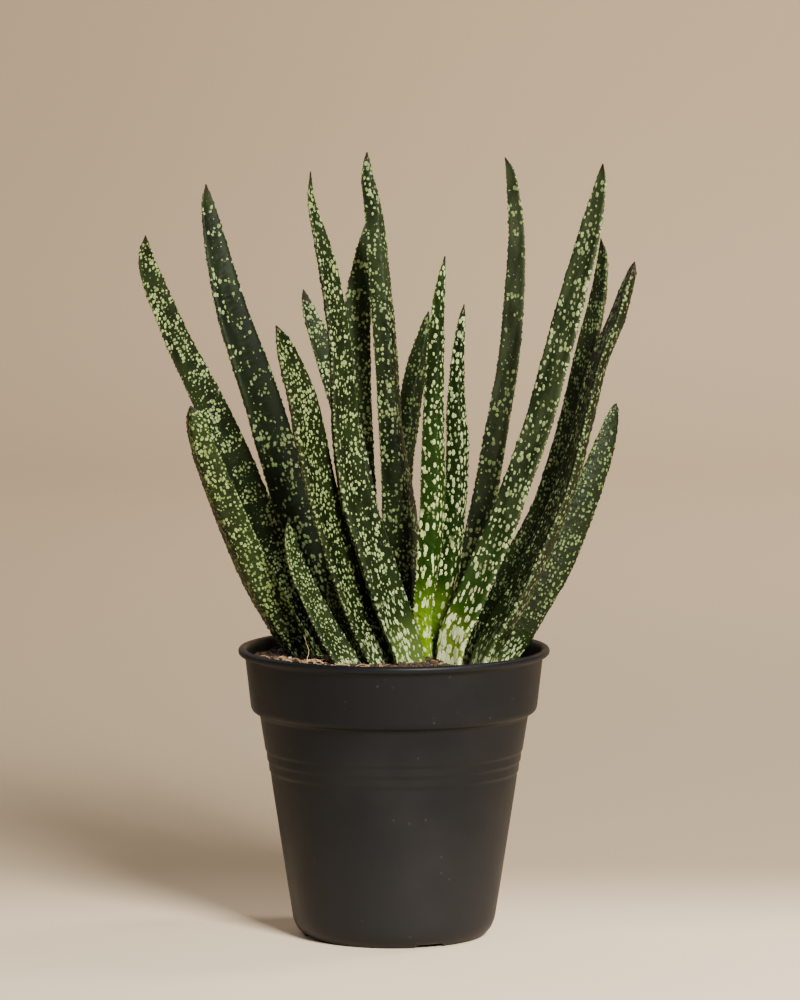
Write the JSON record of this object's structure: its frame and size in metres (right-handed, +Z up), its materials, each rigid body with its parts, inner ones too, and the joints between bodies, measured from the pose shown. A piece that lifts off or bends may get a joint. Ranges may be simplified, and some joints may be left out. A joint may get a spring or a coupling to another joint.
{
  "type": "potted gasteria",
  "caption": "Upright clump of thick, keeled, pale-spotted succulent leaves standing in peat in a round tapered nursery pot with a rolled rim.",
  "frame": {"origin": "centre of the pot's foot on the surface that it stands on, which is the centre of the bounding box's bottom", "axes": "+Z up along the pot's axis; -Y towards the camera of the picture; +X to its right"},
  "size_m": [0.1895, 0.12, 0.3005],
  "materials": {
    "pot": "satin charcoal",
    "soil": "loose dark peat",
    "leaf": "satin, dark green with pale spots",
    "young_leaf": "satin, bright green with white spots"
  },
  "bodies": {
    "root": {"pot": "pot", "soil": "soil", "leaf_left_tall": "leaf", "leaf_left_short": "leaf", "leaf_left_wide": "leaf", "leaf_front_left_mid": "leaf", "leaf_offset_front": "young_leaf", "leaf_offset_back": "young_leaf", "leaf_back_left": "leaf", "leaf_front_left_tall": "leaf", "leaf_back_mid": "leaf", "leaf_tallest": "leaf", "leaf_back_centre": "leaf", "leaf_young_centre": "young_leaf", "leaf_young_right": "young_leaf", "leaf_back_right_tall": "leaf", "leaf_right_tall": "leaf", "leaf_right_shaded": "leaf", "leaf_right_outer": "leaf", "leaf_right_short": "leaf"}
  },
  "joints": []
}
